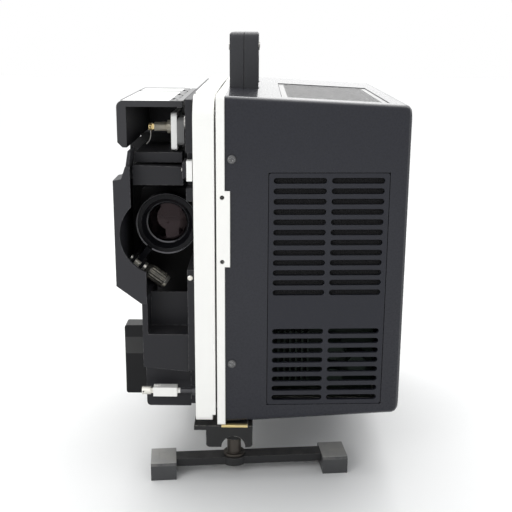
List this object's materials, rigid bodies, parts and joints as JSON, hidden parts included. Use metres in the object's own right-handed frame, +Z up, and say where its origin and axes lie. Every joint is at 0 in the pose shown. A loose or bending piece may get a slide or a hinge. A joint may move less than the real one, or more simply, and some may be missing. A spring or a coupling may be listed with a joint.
{
  "type": "movie projector",
  "caption": "Portable sound film projector: folded reel arms, lens with focus knob, hooded take-up, louvred drafted cover, carrying handle and a swivelling front foot on an elevator post.",
  "frame": {"origin": "on the table, under the centre of the bounding box", "axes": "+X right seen from the lens side, -Y the way the lens points, +Z up"},
  "size_m": [0.2326, 0.3, 0.3678],
  "materials": {
    "ivory_paint": "satin ivory enamel",
    "white_plastic": "white plastic",
    "cover_plastic": "fine-grained black moulding",
    "dark_metal": "black enamel",
    "gloss_black": "polished black moulding",
    "grey_plastic": "grey moulding",
    "grille_metal": "dark grille",
    "bright_steel": "nickel-bright",
    "brass": "lacquered brass",
    "lens_black": "black anodised",
    "glass": "coated glass",
    "lamp_glass": "mirrored reflector and lamp",
    "rubber_grey": "grey rubber",
    "rubber_black": "black rubber",
    "cloth": "black loudspeaker cloth",
    "electrics": "board, windings and cone"
  },
  "bodies": {
    "case": {"film_side_frame": "ivory_paint", "cover_side_frame": "ivory_paint", "motor_cover": "cover_plastic", "front_louvre": "cover_plastic", "top_grille": "grille_metal", "speaker_cloth": "cloth", "speaker": "electrics", "handle_left": "cover_plastic", "handle_right": "cover_plastic", "handle_pins": "bright_steel", "case_screws": "bright_steel", "power_inlet": "gloss_black", "mechanism_deck": "dark_metal", "lens_guard": "dark_metal", "upper_film_guide": "dark_metal", "sound_cover": "dark_metal", "exit_box": "gloss_black", "base_tray": "dark_metal", "lens_holder": "dark_metal", "gate_plate": "bright_steel", "pressure_plate": "bright_steel", "lamp_house": "dark_metal", "lamp": "lamp_glass", "condenser_lens": "glass", "motor": "bright_steel", "drive_belt": "rubber_black", "base_plate": "bright_steel", "transformer": "electrics", "amplifier_board": "electrics", "foot_bracket": "dark_metal", "rear_foot_bar": "dark_metal", "rear_feet": "rubber_grey", "pivot_pins": "bright_steel"},
    "rotor": {"motor_rotor": "bright_steel", "blower_wheel": "grey_plastic"},
    "shutter": {"shutter": "dark_metal"},
    "claw": {"pull_down_claw": "bright_steel"},
    "feed_sprocket": {"feed_sprocket": "bright_steel"},
    "hold_back_sprocket": {"hold_back_sprocket": "bright_steel"},
    "sound_drum": {"sound_drum": "bright_steel"},
    "lens": {"lens_barrel": "lens_black", "lens_glass": "glass"},
    "focus": {"focus_knob": "gloss_black", "focus_shaft": "bright_steel"},
    "framing_lever": {"framing_lever": "white_plastic"},
    "supply_arm": {"supply_arm": "ivory_paint"},
    "supply_spindle": {"supply_spindle": "bright_steel"},
    "supply_lock": {"supply_lock": "bright_steel"},
    "take_up_arm": {"take_up_arm": "white_plastic", "take_up_belt_cover": "grey_plastic"},
    "take_up_spindle": {"take_up_spindle": "bright_steel"},
    "take_up_lock": {"take_up_lock": "brass"},
    "hood": {"hood_shell": "cover_plastic", "hood_panel": "white_plastic"},
    "elevator": {"elevator_post": "bright_steel"},
    "foot_bar": {"foot_bar": "dark_metal", "front_foot_pads": "rubber_grey"},
    "function_knob": {"function_knob": "gloss_black"},
    "volume_knob": {"volume_knob": "gloss_black"},
    "lamp_door": {"lamp_door": "dark_metal"}
  },
  "joints": [
    {"name": "lens_focus", "type": "slide", "parent": "case", "child": "lens", "axis": [0, -1, 0], "range_m": [-0.006, 0.006]},
    {"name": "focus_turn", "type": "hinge", "parent": "case", "child": "focus", "pos_m": [-0.10626, -0.088, 0.17512], "axis": [0.8, 0, -0.6], "range_deg": [-57.35, 57.35]},
    {"name": "supply_arm_swing", "type": "hinge", "parent": "case", "child": "supply_arm", "pos_m": [-0.0445, -0.128, 0.2994], "axis": [-1, 0, 0], "range_deg": [0, 150]},
    {"name": "supply_spindle_spin", "type": "hinge", "parent": "supply_arm", "child": "supply_spindle", "pos_m": [-0.08, -0.13, 0.0742], "axis": [-1, 0, 0], "continuous": true},
    {"name": "supply_lock_flip", "type": "hinge", "parent": "supply_spindle", "child": "supply_lock", "pos_m": [-0.0865, -0.13, 0.0742], "axis": [0, 1, 0], "range_deg": [0, 90]},
    {"name": "take_up_arm_swing", "type": "hinge", "parent": "case", "child": "take_up_arm", "pos_m": [-0.068, 0.005, 0.293], "axis": [-1, 0, 0], "range_deg": [0, 100]},
    {"name": "take_up_spindle_spin", "type": "hinge", "parent": "take_up_arm", "child": "take_up_spindle", "pos_m": [-0.075, -0.105, 0.2936], "axis": [-1, 0, 0], "continuous": true},
    {"name": "take_up_lock_flip", "type": "hinge", "parent": "take_up_spindle", "child": "take_up_lock", "pos_m": [-0.0834, -0.105, 0.2936], "axis": [0, 1, 0], "range_deg": [0, 90]},
    {"name": "hood_lift", "type": "hinge", "parent": "take_up_arm", "child": "hood", "pos_m": [-0.0687, -0.056, 0.3137], "axis": [0, 1, 0], "range_deg": [0, 90]},
    {"name": "framing_turn", "type": "hinge", "parent": "case", "child": "framing_lever", "pos_m": [-0.0562, -0.134, 0.263], "axis": [-1, 0, 0], "range_deg": [-15, 15]},
    {"name": "elevator_slide", "type": "slide", "parent": "case", "child": "elevator", "axis": [0, 0, -1], "range_m": [0, 0.025]},
    {"name": "foot_bar_swivel", "type": "hinge", "parent": "elevator", "child": "foot_bar", "pos_m": [-0.0218, -0.127, 0.012], "axis": [0, 0, 1], "range_deg": [-8, 8]},
    {"name": "rotor_spin", "type": "hinge", "parent": "case", "child": "rotor", "pos_m": [0.06, 0.06, 0.125], "axis": [0, 1, 0], "continuous": true},
    {"name": "shutter_spin", "type": "hinge", "parent": "case", "child": "shutter", "pos_m": [-0.008, 0.02, 0.2108], "axis": [0, 1, 0], "continuous": true},
    {"name": "feed_spin", "type": "hinge", "parent": "case", "child": "feed_sprocket", "pos_m": [-0.07, -0.027, 0.262], "axis": [-1, 0, 0], "continuous": true},
    {"name": "hold_back_spin", "type": "hinge", "parent": "case", "child": "hold_back_sprocket", "pos_m": [-0.07, -0.027, 0.15], "axis": [-1, 0, 0], "continuous": true},
    {"name": "sound_drum_spin", "type": "hinge", "parent": "case", "child": "sound_drum", "pos_m": [-0.075, -0.1, 0.141], "axis": [-1, 0, 0], "continuous": true},
    {"name": "claw_stroke", "type": "slide", "parent": "case", "child": "claw", "axis": [0, 0, 1], "range_m": [-0.0038, 0.0038]},
    {"name": "function_turn", "type": "hinge", "parent": "case", "child": "function_knob", "pos_m": [-0.065, 0.045, 0.11], "axis": [-1, 0, 0], "range_deg": [-60, 60]},
    {"name": "volume_turn", "type": "hinge", "parent": "case", "child": "volume_knob", "pos_m": [-0.065, 0.098, 0.11], "axis": [-1, 0, 0], "range_deg": [0, 270]},
    {"name": "lamp_door_swing", "type": "hinge", "parent": "case", "child": "lamp_door", "pos_m": [-0.1095, 0.1236, 0.2108], "axis": [0, 0, -1], "range_deg": [0, 110]}
  ],
  "couplings": [
    {"joint": "focus_turn", "follows": "lens_focus", "rad_per_m": 166.67},
    {"joint": "shutter_spin", "follows": "rotor_spin", "ratio": 0.6},
    {"joint": "feed_spin", "follows": "rotor_spin", "ratio": 0.05},
    {"joint": "hold_back_spin", "follows": "rotor_spin", "ratio": 0.05}
  ]
}
